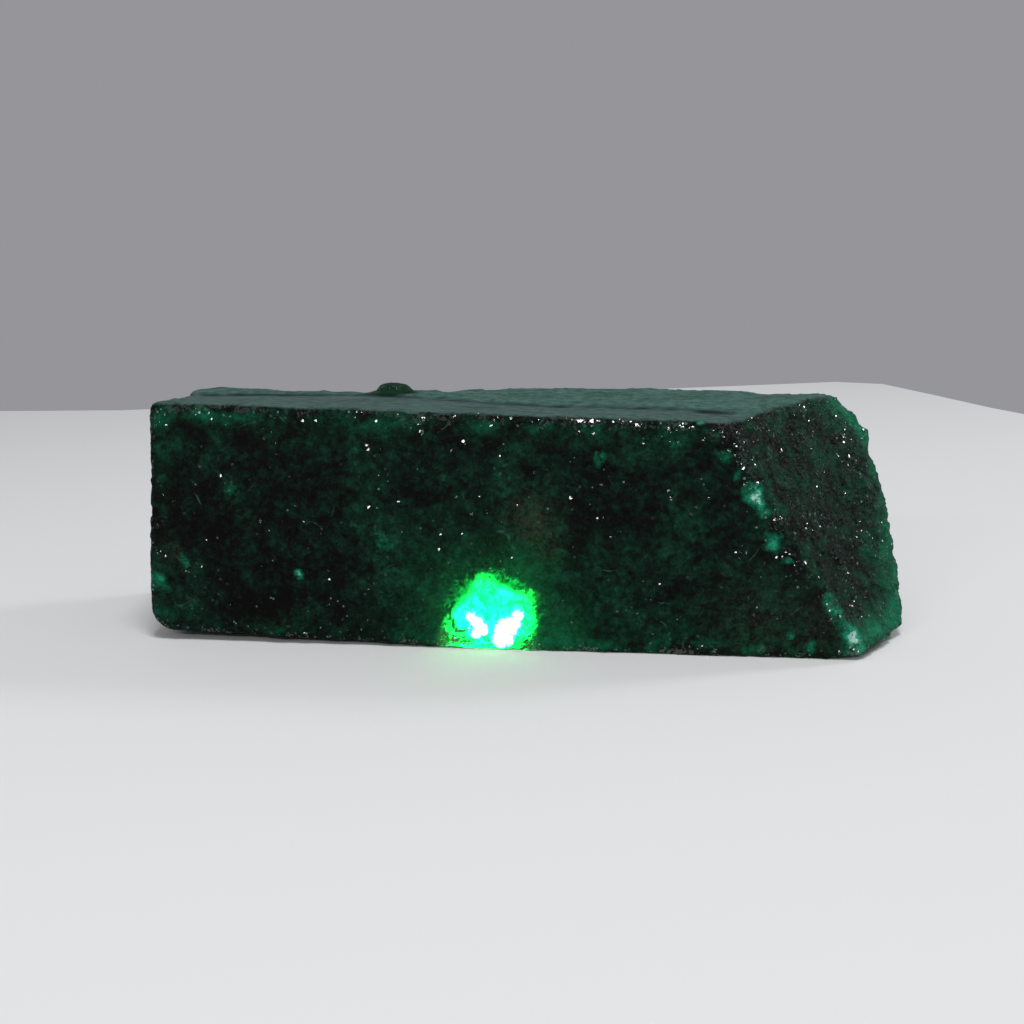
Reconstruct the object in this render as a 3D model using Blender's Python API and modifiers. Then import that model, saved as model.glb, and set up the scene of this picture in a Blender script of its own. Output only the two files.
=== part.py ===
"""Raw emerald: one block of dark green beryl about 91 mm long, as it leaves the saw.

The front, top, left end and underside are sawn.  The right end is a slanted break and the
back is the crystal's own rough skin, undercut towards the right, so that the right-hand edge
is thin.  The block is one solid that lies on its flat underside.
"""

import math
import random

import bmesh
import bpy
from mathutils import Matrix, Vector, noise

MM = 0.001  # metres in a millimetre; every size below is in millimetres until it is used

NAME = "emerald"
COLLECTION = "raw emerald crystal"
CUTTERS = "cutters"
SEED = 4

# ---- The sawn block.  X runs along the front face, Y from front to back, Z up. ----
# Its eight corners, before the undercuts and chips are taken off.
CORNERS = {
    "front foot left": (-35.2, 0.0, -0.4),
    "front foot right": (49.4, 0.0, -0.4),
    "front top left": (-33.7, 0.0, 28.6),
    "front top right": (31.9, 0.0, 27.2),
    "back foot left": (-36.6, 26.0, -0.4),
    "back foot right": (69.8, 33.0, -0.4),
    "back top left": (-35.9, 24.0, 27.8),
    "back top right": (47.6, 25.9, 27.7),
}
CORE = (5.0, 12.0, 14.0)  # a point well inside the stone

# ---- Slabs missing from the block: each is what lies beyond a plane through three points. ----
MISSING = {
    "upper undercut of the back": ((51.5, 27.1, 22.7), (54.2, 23.2, 14.8), (32.9, 34.5, 22.7)),
    "lower undercut of the back": ((54.2, 23.2, 14.8), (55.7, 12.1, 1.6), (35.6, 30.6, 14.8)),
    "chip under the right foot": ((44.8, 0.0, 0.0), (48.9, 0.0, 0.65), (54.5, 10.0, 0.95)),
    "worn lower left corner": ((-35.2, 0.0, 3.1), (-33.2, 0.0, 1.25), (-35.5, 14.0, 1.5)),
    "hollow under the left foot": ((0.0, 0.0, 0.0), (-32.0, 0.0, 1.05), (-36.0, 15.0, 0.0)),
}

# ---- The top: two passes of the saw.  The first slants down from the front edge to a wandering
# step; behind the step the second pass, and at the left the crystal's uncut crust, stand higher.
FIRST_PASS_FOOT = 27.15          # height of the first pass where it meets the step
STEP_LINE = (                    # X, and there the step's Y and its rise
    (-36.0, 18.0, 0.80),
    (-34.0, 18.2, 0.80),
    (-21.5, 20.6, 0.55),
    (-12.5, 21.6, 0.30),
    (-2.0, 17.8, 0.12),
    (4.5, 14.0, 0.30),
    (9.5, 12.8, 0.22),
    (18.0, 11.6, 0.12),
    (25.0, 11.2, 0.34),
    (36.0, 7.4, 0.40),
    (50.0, 4.0, 0.10),
)
STEP_SLOPE = 0.5                 # how far the step takes to rise
BACK_HEIGHTS = (                 # X, and the height of the back edge there
    (-36.0, 27.75),
    (-29.5, 27.95),
    (-22.0, 27.50),
    (-12.8, 27.40),
    (-4.4, 27.80),
    (12.0, 28.10),
    (30.0, 28.00),
    (47.5, 27.70),
)
CRUST_END = -11.0                # X where the crust gives way to the second pass
CRUST_FADE = 3.0                 # over which it does
CRUST_BUMPS = (0.35, 3.2)        # depth and width of the hollows in the crust
TOP_REACH = (0.6, 4.0)           # below the plain top, where the drawing down starts to fade and ends

# ---- A lump of crystal on the back edge, at the end of the crust. ----
LUMP_SIZE = (4.9, 3.4, 3.0)
LUMP_FROM_LEFT = 26.5            # along the back edge
LUMP_PROUD = 1.45
LUMP_INSET = 0.4                 # of its depth, kept in front of the back edge

# ---- Chips along the edges. ----
EDGE_ANGLE = math.radians(24)    # a fold sharper than this is an edge that chips
SAWN_CHIPS = (0.45, 1.40)        # least and greatest radius where two sawn faces meet
BROKEN_CHIPS = (0.70, 2.60)      # the same on the broken end and the rough back
CHIP_SPACING = 2.35              # of radii, between neighbouring chips at least
CHIP_SPREAD = (0.2, 4.2)         # bare edge between two chips
CHIP_SINK = (0.35, 0.75)         # how far a cutter stands off its edge, in radii
CHIP_END_MARGIN = 1.2            # of radii, kept clear at each end of an edge
CHIP_RARITY = 2.2                # the higher, the fewer of the chips are large
CHIP_STRETCH = 1.6               # the longest chip, in widths

# ---- Relief of the faces. ----
VOXEL = 0.45                     # size of the cells that the block is rebuilt from
SAWN_SWELL = (0.20, 7.0)         # depth and width of the sawn faces' slow waves
SAWN_GRAIN = (0.12, 2.8)         # depth and width of their crystal grains
SAWN_PROUD = 0.12                # their relief straddles the plain cut too
BROKEN_SWELL = (0.95, 8.5)       # hollows of the broken end and the rough back
BROKEN_GRAIN = (0.36, 2.6)
SKIN_GROOVE = (0.45, 2.8)        # depth and spacing of growth grooves along the back
SKIN_WANDER = 1.4                # how far a groove strays from straight
SKIN_BEND = 11.0                 # length over which it strays
BROKEN_PROUD = 0.60              # the rough faces' relief straddles the plain cut
SAWN_FACING = 0.90               # a face that faces this squarely to a saw cut is sawn
ROUGH_REACH = (0.6, 3.0)         # from a rough face, where its relief starts to fade and ends
ROUGH_SLANT = (0.20, 0.75)       # the same for how far the surface turns away from that face
ROUGH_FACES = (
    ("front foot right", "front top right", "back top right"),
    ("back top right", "back top left", "back foot left"),
    ("back top right", "back foot left", "back foot right"),
)

TRIANGLES = 9000                 # of the finished stone
SLAB_SIZE = 160.0                # of the slab that saws the underside flat at height 0, last of all

# ---- Finish ----
STONE_COLOUR = (0.006, 0.030, 0.018, 1.0)
STONE_ROUGHNESS = 0.42
STONE_IOR = 1.58


def clear_scene():
    for old in list(bpy.data.objects):
        bpy.data.objects.remove(old, do_unlink=True)


def new_collection(name):
    group = bpy.data.collections.new(name)
    bpy.context.scene.collection.children.link(group)
    return group


def new_object(name, mesh, group):
    made = bpy.data.objects.new(name, mesh)
    group.objects.link(made)
    return made


def mesh_from(body, name):
    """Turn an edited body into mesh data, its faces pointing out."""
    bmesh.ops.recalc_face_normals(body, faces=body.faces)
    mesh = bpy.data.meshes.new(name)
    body.to_mesh(mesh)
    body.free()
    return mesh


def apply_modifiers(stone):
    """Keep what the object's modifiers make as its own mesh."""
    bpy.context.view_layer.update()
    evaluated = stone.evaluated_get(bpy.context.evaluated_depsgraph_get())
    mesh = bpy.data.meshes.new_from_object(evaluated)
    stone.modifiers.clear()
    stone.data = mesh


def sawn_block():
    """A cube drawn out to the block's eight corners, every face in triangles."""
    body = bmesh.new()
    bmesh.ops.create_cube(body, size=2.0)
    named = {}
    for vert in body.verts:
        depth = "back" if vert.co.y > 0 else "front"
        level = "top" if vert.co.z > 0 else "foot"
        side = "right" if vert.co.x > 0 else "left"
        corner = f"{depth} {level} {side}"
        named[corner] = vert
        vert.co = Vector(CORNERS[corner]) * MM
    # The top is two saw cuts that meet from the front right corner to the back left one.
    bmesh.ops.connect_verts(body, verts=[named["front top right"], named["back top left"]])
    bmesh.ops.triangulate(body, faces=[face for face in body.faces if len(face.verts) > 3])
    return body


def cut_away(body, points):
    """Take off what lies beyond the plane through three points, and close the cut."""
    first, second, third = (Vector(point) * MM for point in points)
    outward = (second - first).cross(third - first).normalized()
    if outward.dot(Vector(CORE) * MM - first) > 0:
        outward.negate()
    cut = bmesh.ops.bisect_plane(
        body,
        geom=body.verts[:] + body.edges[:] + body.faces[:],
        dist=1e-7,
        plane_co=first,
        plane_no=outward,
        clear_outer=True,
    )
    rim = [edge for edge in cut["geom_cut"] if isinstance(edge, bmesh.types.BMEdge)]
    bmesh.ops.contextual_create(body, geom=rim)


def back_edge():
    """Where the back edge of the top starts, and its direction."""
    left = Vector(CORNERS["back top left"])
    right = Vector(CORNERS["back top right"])
    return left, (right - left).normalized()


def add_lump(body):
    """A pebble of crystal grown to the back edge of the top."""
    left, along = back_edge()
    made = bmesh.ops.create_icosphere(body, subdivisions=2, radius=0.5)["verts"]
    place = left + along * LUMP_FROM_LEFT
    place.z = read_table(BACK_HEIGHTS, place.x)[0] + LUMP_PROUD - LUMP_SIZE[2] / 2
    place.y -= LUMP_SIZE[1] * LUMP_INSET
    size = Matrix.Diagonal(Vector(LUMP_SIZE) * MM).to_4x4()
    bmesh.ops.transform(body, matrix=Matrix.Translation(place * MM) @ size, verts=made)


def read_table(table, x):
    """The values of a table at X, straight between its rows."""
    for low, high in zip(table, table[1:]):
        if x <= high[0]:
            break
    share = max(0.0, min(1.0, (x - low[0]) / (high[0] - low[0])))
    return [before + (after - before) * share for before, after in zip(low[1:], high[1:])]


def plain_top(x, y):
    """Height of the block's plain top, which is two flat faces, at a place."""
    fold_start = Vector(CORNERS["front top right"])
    fold_end = Vector(CORNERS["back top left"])
    side = (fold_end - fold_start).cross(Vector((x, y, 0.0)) - fold_start).z
    third = Vector(CORNERS["back top right" if side < 0 else "front top left"])
    normal = (fold_end - fold_start).cross(third - fold_start)
    return fold_start.z - (normal.x * (x - fold_start.x) + normal.y * (y - fold_start.y)) / normal.z


def sawn_top(x, y):
    """Height of the finished top at a place."""
    left, right = CORNERS["front top left"], CORNERS["front top right"]
    share = max(0.0, min(1.0, (x - left[0]) / (right[0] - left[0])))
    front = left[2] + (right[2] - left[2]) * share
    step_y, rise = read_table(STEP_LINE, x)
    if y < step_y:
        return front + (FIRST_PASS_FOOT - front) * max(0.0, y) / step_y
    start, along = back_edge()
    back_y = start.y + (x - start.x) * along.y / along.x
    back = read_table(BACK_HEIGHTS, x)[0]
    run = min(1.0, (y - step_y) / max(1.0, back_y - step_y))
    second = FIRST_PASS_FOOT + rise + (back - FIRST_PASS_FOOT - rise) * run
    crust = 1.0 - smooth_share(x, CRUST_END - CRUST_FADE, CRUST_END)
    second -= crust * CRUST_BUMPS[0] * bumps(Vector((x, y, 60.0)), CRUST_BUMPS[1])
    return FIRST_PASS_FOOT + (second - FIRST_PASS_FOOT) * min(1.0, (y - step_y) / STEP_SLOPE)


def draw_top(stone):
    """Move the top, and the stone just under it, to the heights that the saw left."""
    for vert in stone.data.vertices:
        place = vert.co / MM
        plain = plain_top(place.x, place.y)
        share = 1.0 - smooth_share(plain - place.z, *TOP_REACH)
        vert.co.z += (sawn_top(place.x, place.y) - plain) * share * MM


def is_sawn(normal):
    """The front, the top, the left end and the underside were sawn."""
    return max(-normal.y, abs(normal.z), -normal.x) > SAWN_FACING


def add_chip_cutters(body, cutter, rng):
    """Small many-sided cutters, spaced along every edge of the block so that none touch."""
    taken = []
    edges = [
        edge for edge in body.edges
        if edge.is_manifold and edge.calc_face_angle() > EDGE_ANGLE
    ]
    edges.sort(key=lambda edge: tuple(round(value, 6) for vert in edge.verts for value in vert.co))
    for edge in edges:
        sawn = all(is_sawn(face.normal) for face in edge.link_faces)
        low, high = SAWN_CHIPS if sawn else BROKEN_CHIPS
        first, last = (vert.co / MM for vert in edge.verts)
        outward = sum((face.normal for face in edge.link_faces), Vector()).normalized()
        length = (last - first).length
        travelled = 0.0  # along the edge so far
        while True:
            radius = low + (high - low) * rng.random() ** CHIP_RARITY
            travelled += radius * CHIP_END_MARGIN + rng.uniform(*CHIP_SPREAD)
            if travelled + radius * CHIP_END_MARGIN > length:
                break
            place = first.lerp(last, travelled / length) + outward * radius * rng.uniform(*CHIP_SINK)
            axis = Vector((rng.gauss(0, 1) for _ in "xyz"))
            turn = Matrix.Rotation(rng.uniform(0, math.tau), 4, axis)
            travelled += radius
            if any((place - other).length < (radius + size) * CHIP_SPACING / 2 for other, size in taken):
                continue
            taken.append((place, radius))
            stretch = Matrix.Diagonal((radius * rng.uniform(1.0, CHIP_STRETCH), radius, radius, 1.0))
            bmesh.ops.create_icosphere(
                cutter,
                subdivisions=1,
                radius=MM,
                matrix=Matrix.Translation(place * MM) @ turn @ stretch,
            )
    return len(taken)


def boolean(stone, other, operation):
    """Join another object to the stone, or cut it out, and keep the result."""
    tool = stone.modifiers.new(operation.lower(), "BOOLEAN")
    tool.operation = operation
    tool.object = other
    tool.solver = "EXACT"
    tool.use_self = True
    other.hide_render = True
    other.display_type = "WIRE"
    apply_modifiers(stone)


def rebuild(stone):
    """Rebuild the surface from small even cells, so that it never passes through itself."""
    cells = stone.modifiers.new("rebuild", "REMESH")
    cells.mode = "VOXEL"
    cells.voxel_size = VOXEL * MM
    cells.use_smooth_shade = False
    apply_modifiers(stone)


def bumps(place, width):
    """Smooth noise from 0 to 1 with features about so many millimetres wide."""
    return 0.5 + 0.5 * max(-1.0, min(1.0, noise.noise(place / width) * 1.6))


def grains(place, width):
    """Blocky grains from 0, at their boundaries, to 1."""
    near, far = noise.voronoi(place / width)[0][:2]
    return max(0.0, min(1.0, (far - near) * 1.7))


def skin_grooves(place, spacing):
    """Grooves along X, as a beryl prism has, that wander and die out; from 0 to 1 deep."""
    stray = noise.noise(place / SKIN_BEND) * SKIN_WANDER
    wave = 0.5 + 0.5 * math.sin((place.z + stray + place.y * 0.4) * math.tau / spacing)
    strength = bumps(place + Vector((40.0, 0.0, 9.0)), 9.0)
    return wave ** 2 * strength


def plane_through(points):
    """A point of the plane through three points, and its unit normal."""
    first, second, third = (Vector(point) for point in points)
    return first, (second - first).cross(third - first).normalized()


def rough_planes():
    """The planes of the slanted break at the right end and of the rough back."""
    planes = [plane_through(CORNERS[corner] for corner in corners) for corners in ROUGH_FACES]
    planes += [plane_through(points) for name, points in MISSING.items() if "back" in name]
    return planes


def smooth_share(value, low, high):
    """0 at the low value, 1 at the high one, eased in between."""
    share = max(0.0, min(1.0, (value - low) / (high - low)))
    return share * share * (3.0 - 2.0 * share)


def roughness_at(place, facing, planes):
    """1 on the broken and natural faces, falling to 0 on and near the sawn ones."""
    distance, slant = min((abs((place - point).dot(normal)), 1.0 - abs(facing.dot(normal)))
                          for point, normal in planes)
    return (1.0 - smooth_share(distance, *ROUGH_REACH)) * (1.0 - smooth_share(slant, *ROUGH_SLANT))


def relief(place, normal, planes):
    """How deep the surface lies under the plain cut at a place, in millimetres."""
    sawn_depth = SAWN_SWELL[0] * bumps(place, SAWN_SWELL[1])
    sawn_depth += SAWN_GRAIN[0] * (1.0 - grains(place, SAWN_GRAIN[1])) - SAWN_PROUD
    broken_depth = BROKEN_SWELL[0] * bumps(place + Vector((7.0, 3.0, 5.0)), BROKEN_SWELL[1])
    broken_depth += BROKEN_GRAIN[0] * (1.0 - grains(place, BROKEN_GRAIN[1]))
    broken_depth += SKIN_GROOVE[0] * skin_grooves(place, SKIN_GROOVE[1]) * max(0.0, normal.y)
    broken_depth -= BROKEN_PROUD
    return sawn_depth + (broken_depth - sawn_depth) * roughness_at(place, normal, planes)


def roughen(stone):
    """Push every point of the surface in by the relief of its face."""
    body = bmesh.new()
    body.from_mesh(stone.data)
    bmesh.ops.smooth_vert(
        body,
        verts=body.verts,
        factor=0.5,
        use_axis_x=True,
        use_axis_y=True,
        use_axis_z=True,
    )
    body.normal_update()
    planes = rough_planes()
    moves = [vert.normal * (-relief(vert.co / MM, vert.normal, planes) * MM) for vert in body.verts]
    for vert, move in zip(body.verts, moves):
        vert.co += move
    stone.data = mesh_from(body, stone.name)


def lighten(stone):
    """Merge the small cells into as few triangles as the shape needs."""
    stone.data.calc_loop_triangles()
    fewer = stone.modifiers.new("lighten", "DECIMATE")
    fewer.decimate_type = "COLLAPSE"
    fewer.ratio = TRIANGLES / len(stone.data.loop_triangles)
    fewer.use_collapse_triangulate = True
    apply_modifiers(stone)


def drop_crumbs(stone):
    """Keep only the stone itself, without the crumbs that a cut has freed."""
    body = bmesh.new()
    body.from_mesh(stone.data)
    waiting = set(body.verts)
    pieces = []
    while waiting:
        piece = [waiting.pop()]
        for vert in piece:
            for edge in vert.link_edges:
                other = edge.other_vert(vert)
                if other in waiting:
                    waiting.remove(other)
                    piece.append(other)
        pieces.append(piece)
    pieces.sort(key=len)
    crumbs = [vert for piece in pieces[:-1] for vert in piece]
    bmesh.ops.delete(body, geom=crumbs, context="VERTS")
    stone.data = mesh_from(body, stone.name)


def add_seat_cutter(body):
    """A slab under the stone, whose top is the level that the underside is sawn to."""
    for vert in bmesh.ops.create_cube(body, size=SLAB_SIZE * MM)["verts"]:
        vert.co.z -= SLAB_SIZE / 2 * MM


def centre(stone):
    """Put the origin under the middle of the stone's box."""
    places = [vert.co for vert in stone.data.vertices]
    low = Vector([min(place[axis] for place in places) for axis in range(3)])
    high = Vector([max(place[axis] for place in places) for axis in range(3)])
    middle = (low + high) / 2
    middle.z = low.z
    stone.data.transform(Matrix.Translation(-middle))
    print("size in mm", [round(side / MM, 2) for side in high - low])
    print("moved by", [round(value / MM, 3) for value in middle])


def emerald_material():
    """Dark, slightly glossy green beryl."""
    stone = bpy.data.materials.new(NAME)
    stone.use_nodes = True
    shader = stone.node_tree.nodes["Principled BSDF"]
    shader.inputs["Base Color"].default_value = STONE_COLOUR
    shader.inputs["Roughness"].default_value = STONE_ROUGHNESS
    shader.inputs["Metallic"].default_value = 0.0
    shader.inputs["IOR"].default_value = STONE_IOR
    return stone


def main():
    clear_scene()
    rng = random.Random(SEED)
    parts = new_collection(COLLECTION)
    cutters = new_collection(CUTTERS)

    body = sawn_block()
    for points in MISSING.values():
        cut_away(body, points)
    bmesh.ops.recalc_face_normals(body, faces=body.faces)
    body.normal_update()
    chip_body = bmesh.new()
    count = add_chip_cutters(body, chip_body, rng)
    stone = new_object(NAME, mesh_from(body, NAME), parts)

    lump_body = bmesh.new()
    add_lump(lump_body)
    boolean(stone, new_object("lump", mesh_from(lump_body, "lump"), cutters), "UNION")
    boolean(stone, new_object("chips", mesh_from(chip_body, "chips"), cutters), "DIFFERENCE")

    rebuild(stone)
    draw_top(stone)
    roughen(stone)
    rebuild(stone)
    lighten(stone)
    slab_body = bmesh.new()
    add_seat_cutter(slab_body)
    boolean(stone, new_object("seat slab", mesh_from(slab_body, "seat slab"), cutters), "DIFFERENCE")
    drop_crumbs(stone)
    centre(stone)
    stone.data.materials.clear()
    stone.data.materials.append(emerald_material())
    print("chips", count, "triangles", len(stone.data.polygons))


main()
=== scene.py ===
# %% [markdown]
# # A raw emerald, sawn and broken
#
# This lesson dresses one piece of rough emerald.  The stone is a block of dark green beryl about
# nine centimetres long.  A saw has made its front, its top, its left end and its underside, its
# right end is a slanted break, and its back is the skin that the crystal grew.
#
# The plain solid of the stone comes from the frame and stays the measure of everything here.  The
# lesson copies it, gives the copy the grain of the real stone, colours it with nodes, and lights it.

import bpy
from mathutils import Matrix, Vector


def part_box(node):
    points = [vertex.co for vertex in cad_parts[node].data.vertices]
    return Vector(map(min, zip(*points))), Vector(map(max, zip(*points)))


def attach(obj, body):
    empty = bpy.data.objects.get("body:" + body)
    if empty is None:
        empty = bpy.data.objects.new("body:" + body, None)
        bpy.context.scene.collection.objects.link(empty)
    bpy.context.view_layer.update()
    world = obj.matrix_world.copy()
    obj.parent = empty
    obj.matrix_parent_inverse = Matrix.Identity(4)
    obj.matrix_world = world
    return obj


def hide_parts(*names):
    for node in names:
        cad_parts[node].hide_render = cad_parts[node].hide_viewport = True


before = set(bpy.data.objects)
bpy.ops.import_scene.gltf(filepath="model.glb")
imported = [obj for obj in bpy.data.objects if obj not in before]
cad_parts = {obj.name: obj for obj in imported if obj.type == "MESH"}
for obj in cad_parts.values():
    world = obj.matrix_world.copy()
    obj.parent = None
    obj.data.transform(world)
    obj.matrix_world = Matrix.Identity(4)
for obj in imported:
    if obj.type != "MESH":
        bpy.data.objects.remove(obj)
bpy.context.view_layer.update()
print("nodes:", sorted(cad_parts))

# %% Tools and units
import math

import bpy
import numpy as np
from mathutils import Euler, Vector
from mathutils.bvhtree import BVHTree
from mathutils.kdtree import KDTree
from mathutils.noise import noise_vector, seed_set

MM = 0.001  # metres in a millimetre
LOW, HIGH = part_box("emerald")
print("stone in mm:", [round(side / MM, 1) for side in HIGH - LOW])

# %% [markdown]
# ## A finer skin for the same stone
#
# The solid has few, large triangles, which is right for weight and contact but shows as cut
# paper.  The copy could be subdivided, but that keeps the long thin triangles of the solid.  A
# voxel remesh instead rebuilds the surface from even little squares about a third of a
# millimetre wide, so that every part of the stone can carry grain of the same size.

# %% Rebuild the skin
SKIN_CELL = 0.36 * MM

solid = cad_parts["emerald"]
stone = bpy.data.objects.new("raw_emerald", solid.data.copy())
bpy.context.scene.collection.objects.link(stone)
cells = stone.modifiers.new("even cells", "REMESH")
cells.mode = "VOXEL"
cells.voxel_size = SKIN_CELL
bpy.context.view_layer.update()
skin = bpy.data.meshes.new_from_object(stone.evaluated_get(bpy.context.evaluated_depsgraph_get()))
stone.modifiers.clear()
stone.data = skin
print("skin squares:", len(skin.polygons))

# %% [markdown]
# ## Where the skin is smooth, folded or thin
#
# The steps below need to know three things about every point of the skin.  The first is the
# average of its neighbours, which is how a surface is smoothed.  The second is how far a point
# stands out from a much smoother copy of the stone: that is high along the edges, where the
# stone chips.  The third is how much stone lies behind it, because thin stone lets light through.
#
# Each could be painted by hand as a vertex group.  Measuring is quicker and misses no edge, and
# with all points in one array a measure of the whole stone is a line or two.

# %% Read and write the skin as arrays
def read_points(mesh):
    places = np.empty(len(mesh.vertices) * 3, np.float32)
    mesh.vertices.foreach_get("co", places)
    return places.reshape(-1, 3).astype(float)


def write_points(mesh, places):
    mesh.vertices.foreach_set("co", places.astype(np.float32).ravel())
    mesh.update()


def read_normals(mesh):
    normals = np.empty(len(mesh.vertices) * 3, np.float32)
    mesh.vertex_normals.foreach_get("vector", normals)
    return normals.reshape(-1, 3).astype(float)


points = read_points(skin)
print("points:", len(points))

# %% Average each point with its neighbours
pairs = np.empty(len(skin.edges) * 2, np.int32)
skin.edges.foreach_get("vertices", pairs)
pairs = pairs.reshape(-1, 2)
both_ways = np.vstack([pairs, pairs[:, ::-1]])
neighbour_count = np.bincount(both_ways[:, 0], minlength=len(points))


def neighbour_mean(values):
    """The mean of each point's neighbours, for an array of any width."""
    columns = [
        np.bincount(both_ways[:, 0], weights=column[both_ways[:, 1]], minlength=len(column))
        for column in values.reshape(len(values), -1).T
    ]
    return (np.array(columns) / neighbour_count).T.reshape(values.shape)


def relax(values, rounds):
    """Move every value halfway to the mean of its neighbours, a number of times."""
    for _ in range(rounds):
        values = values + (neighbour_mean(values) - values) * 0.5
    return values


print("neighbours of a point:", neighbour_count.min(), "to", neighbour_count.max())

# %% [markdown]
# ### Smoothing, and the lump on the back edge
#
# A voxel skin has tiny stairs wherever the stone is not square to the voxels.  Moving every point
# halfway to its neighbours, a few times, melts the stairs.  A Smooth modifier would do the same,
# but the points are arrays already, and the later steps need the result as numbers.
#
# The same melting blunts the small lump of crystal on the back edge, which is steep and has a
# flat crown.  A boolean could add it again.  It is simpler to lift the points that lie inside its
# oval to a dome with steep shoulders, and to hold down the ones just beside it.

# %% Melt the stairs
SMOOTH_ROUNDS = 4

points = relax(points, SMOOTH_ROUNDS)
print("smoothed", SMOOTH_ROUNDS, "times")

# %% Give the lump its round shoulders back
LUMP_X, LUMP_Y = -18.4, 8.7      # mm
LUMP_HALF = (2.35, 1.50)         # mm: half its length and half its width
LUMP_FOOT, LUMP_TOP = 27.15, 28.50
LUMP_SQUARENESS = 4              # 2 makes a round dome, and more makes steeper shoulders
TOP_ABOVE = 26.9                 # mm: only the top of the stone is higher than this
BESIDE_LUMP = 2.2                # how far the ground beside the lump reaches, in half-lengths
GROUND_TOP = 27.55               # mm: nothing beside the lump stands higher than this

out_from_lump = np.hypot(
    (points[:, 0] / MM - LUMP_X) / LUMP_HALF[0],
    (points[:, 1] / MM - LUMP_Y) / LUMP_HALF[1],
)
crown = np.sqrt(np.clip(1.0 - out_from_lump ** LUMP_SQUARENESS, 0.0, 1.0))
dome = LUMP_FOOT + (LUMP_TOP - LUMP_FOOT) * crown
near_top = points[:, 2] > TOP_ABOVE * MM
on_lump = near_top & (out_from_lump < 1.0)
beside = near_top & (out_from_lump >= 1.0) & (out_from_lump < BESIDE_LUMP)
points[on_lump, 2] = np.maximum(points[on_lump, 2], dome[on_lump] * MM)
points[beside, 2] = np.minimum(points[beside, 2], GROUND_TOP * MM)
write_points(skin, points)
normals = read_normals(skin)
print("points on the lump:", int(on_lump.sum()))

# %% Measure how far each point stands out
EDGE_WIDTH_ROUNDS = 40           # the more, the wider the band along an edge
EDGE_STANDOUT = 0.22 * MM        # standing out by this much is a full edge
HOLLOW_DEPTH = 0.10 * MM         # and lying this deep is a full hollow

smoother = relax(points, EDGE_WIDTH_ROUNDS)
standout = ((points - smoother) * normals).sum(axis=1)
edge = np.clip(standout / EDGE_STANDOUT, 0.0, 1.0)
hollow = np.clip(-standout / HOLLOW_DEPTH, 0.0, 1.0)
print("points on edges:", int((edge > 0.5).sum()), "in hollows:", int((hollow > 0.5).sum()))

# %% [markdown]
# ### Thin stone
#
# Near the edges of the block light crosses only a little emerald, and the stone shows green
# there.  The thickness could come from a node, but ambient occlusion is slow and noisy.  A few
# rays sent inward from each point measure it once, and the average over five directions is kept.

# %% Measure how thin the stone is
THIN_REACH = 5.0 * MM            # light fades over about this much stone
THIN_EVERY = 3                   # only every third point is measured; relaxing fills the rest
THIN_SPREAD_ROUNDS = 12
LOOKS_INWARD = [(0.0, 0.0), (0.6, 0.0), (-0.6, 0.0), (0.0, 0.6), (0.0, -0.6)]

tree = BVHTree.FromPolygons(
    [Vector(place) for place in points],
    [tuple(square.vertices) for square in skin.polygons],
)


def light_let_through(place, normal):
    """How much light crosses the stone at a place, over a few directions, from 0 to 1."""
    side = normal.orthogonal().normalized()
    other = normal.cross(side)
    total = 0.0
    for across, along in LOOKS_INWARD:
        inward = (-normal + side * across + other * along).normalized()
        far = tree.ray_cast(place + inward * SKIN_CELL, inward)[3]
        total += math.exp(-far / THIN_REACH) if far else 0.0
    return total / len(LOOKS_INWARD)


thin = np.zeros(len(points))
known = np.zeros(len(points))
for number in range(0, len(points), THIN_EVERY):
    thin[number] = light_let_through(Vector(points[number]), Vector(normals[number]))
    known[number] = 1.0
thin = relax(thin, THIN_SPREAD_ROUNDS) / np.maximum(relax(known, THIN_SPREAD_ROUNDS), 1e-6)
print("thin from", round(float(thin.min()), 3), "to", round(float(thin.max()), 3))

# %% [markdown]
# ## Which faces the saw made
#
# The top was sawn last and left dry, so it is matt.  It is painted pale, partly with stone dust
# and partly with painted sheen, the grazing reflection of the wall.  The break and the natural skin
# are coarse.  Material slots on chosen faces could tell them apart, but a slot ends in a hard line.
# Here each face is known by the way it looks, and that fades softly round an edge: a point
# belongs to the top if its normal points up, and to the coarse faces if it looks right or back.

# %% Weights for the faces
FACE_BLUR_ROUNDS = 10
LOOKS_UP = (0.80, 0.95)          # from not at all the top to fully the top
LOOKS_COARSE = (0.35, 0.70)
BREAK_FIRST = 1.1                # the break counts a little more than the back


def share(values, low, high):
    """0 below low, 1 above high, eased in between."""
    t = np.clip((values - low) / (high - low), 0.0, 1.0)
    return t * t * (3.0 - 2.0 * t)


facing = relax(normals, FACE_BLUR_ROUNDS)
facing /= np.linalg.norm(facing, axis=1)[:, None]
top = share(facing[:, 2], *LOOKS_UP)
underside = share(-facing[:, 2], *LOOKS_UP)
coarse = share(np.maximum(facing[:, 0] * BREAK_FIRST, facing[:, 1]), *LOOKS_COARSE) * (1.0 - top)
print("top:", int(top.sum()), "coarse:", int(coarse.sum()))

# %% [markdown]
# ### Two passes of the saw
#
# The blade cut the top twice, and the passes did not quite meet.  A low step wanders along the
# top, and what lies behind it belongs to the second pass.  The solid has the step already.  The
# colour has to change there too.  Looking for the step in the mesh would be fussy, because it is
# low, so its line is written once more, as a short table.

# %% The step between the two passes
STEP_LINE = [                    # in mm: X, and how far back the step runs there
    (-45.1, 3.6), (-43.1, 3.8), (-30.6, 6.2), (-21.6, 7.2), (-11.1, 3.4), (-4.6, -0.4),
    (0.4, -1.6), (8.9, -2.8), (15.9, -3.2), (26.9, -7.0), (40.9, -10.4),
]
STEP_FADE = 0.8 * MM

step_x, step_y = np.array(STEP_LINE).T * MM
behind = points[:, 1] - np.interp(points[:, 0], step_x, step_y)
second_pass = share(behind, 0.0, STEP_FADE)
print("second pass:", int((second_pass * top).sum()), "of", int(top.sum()))

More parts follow.
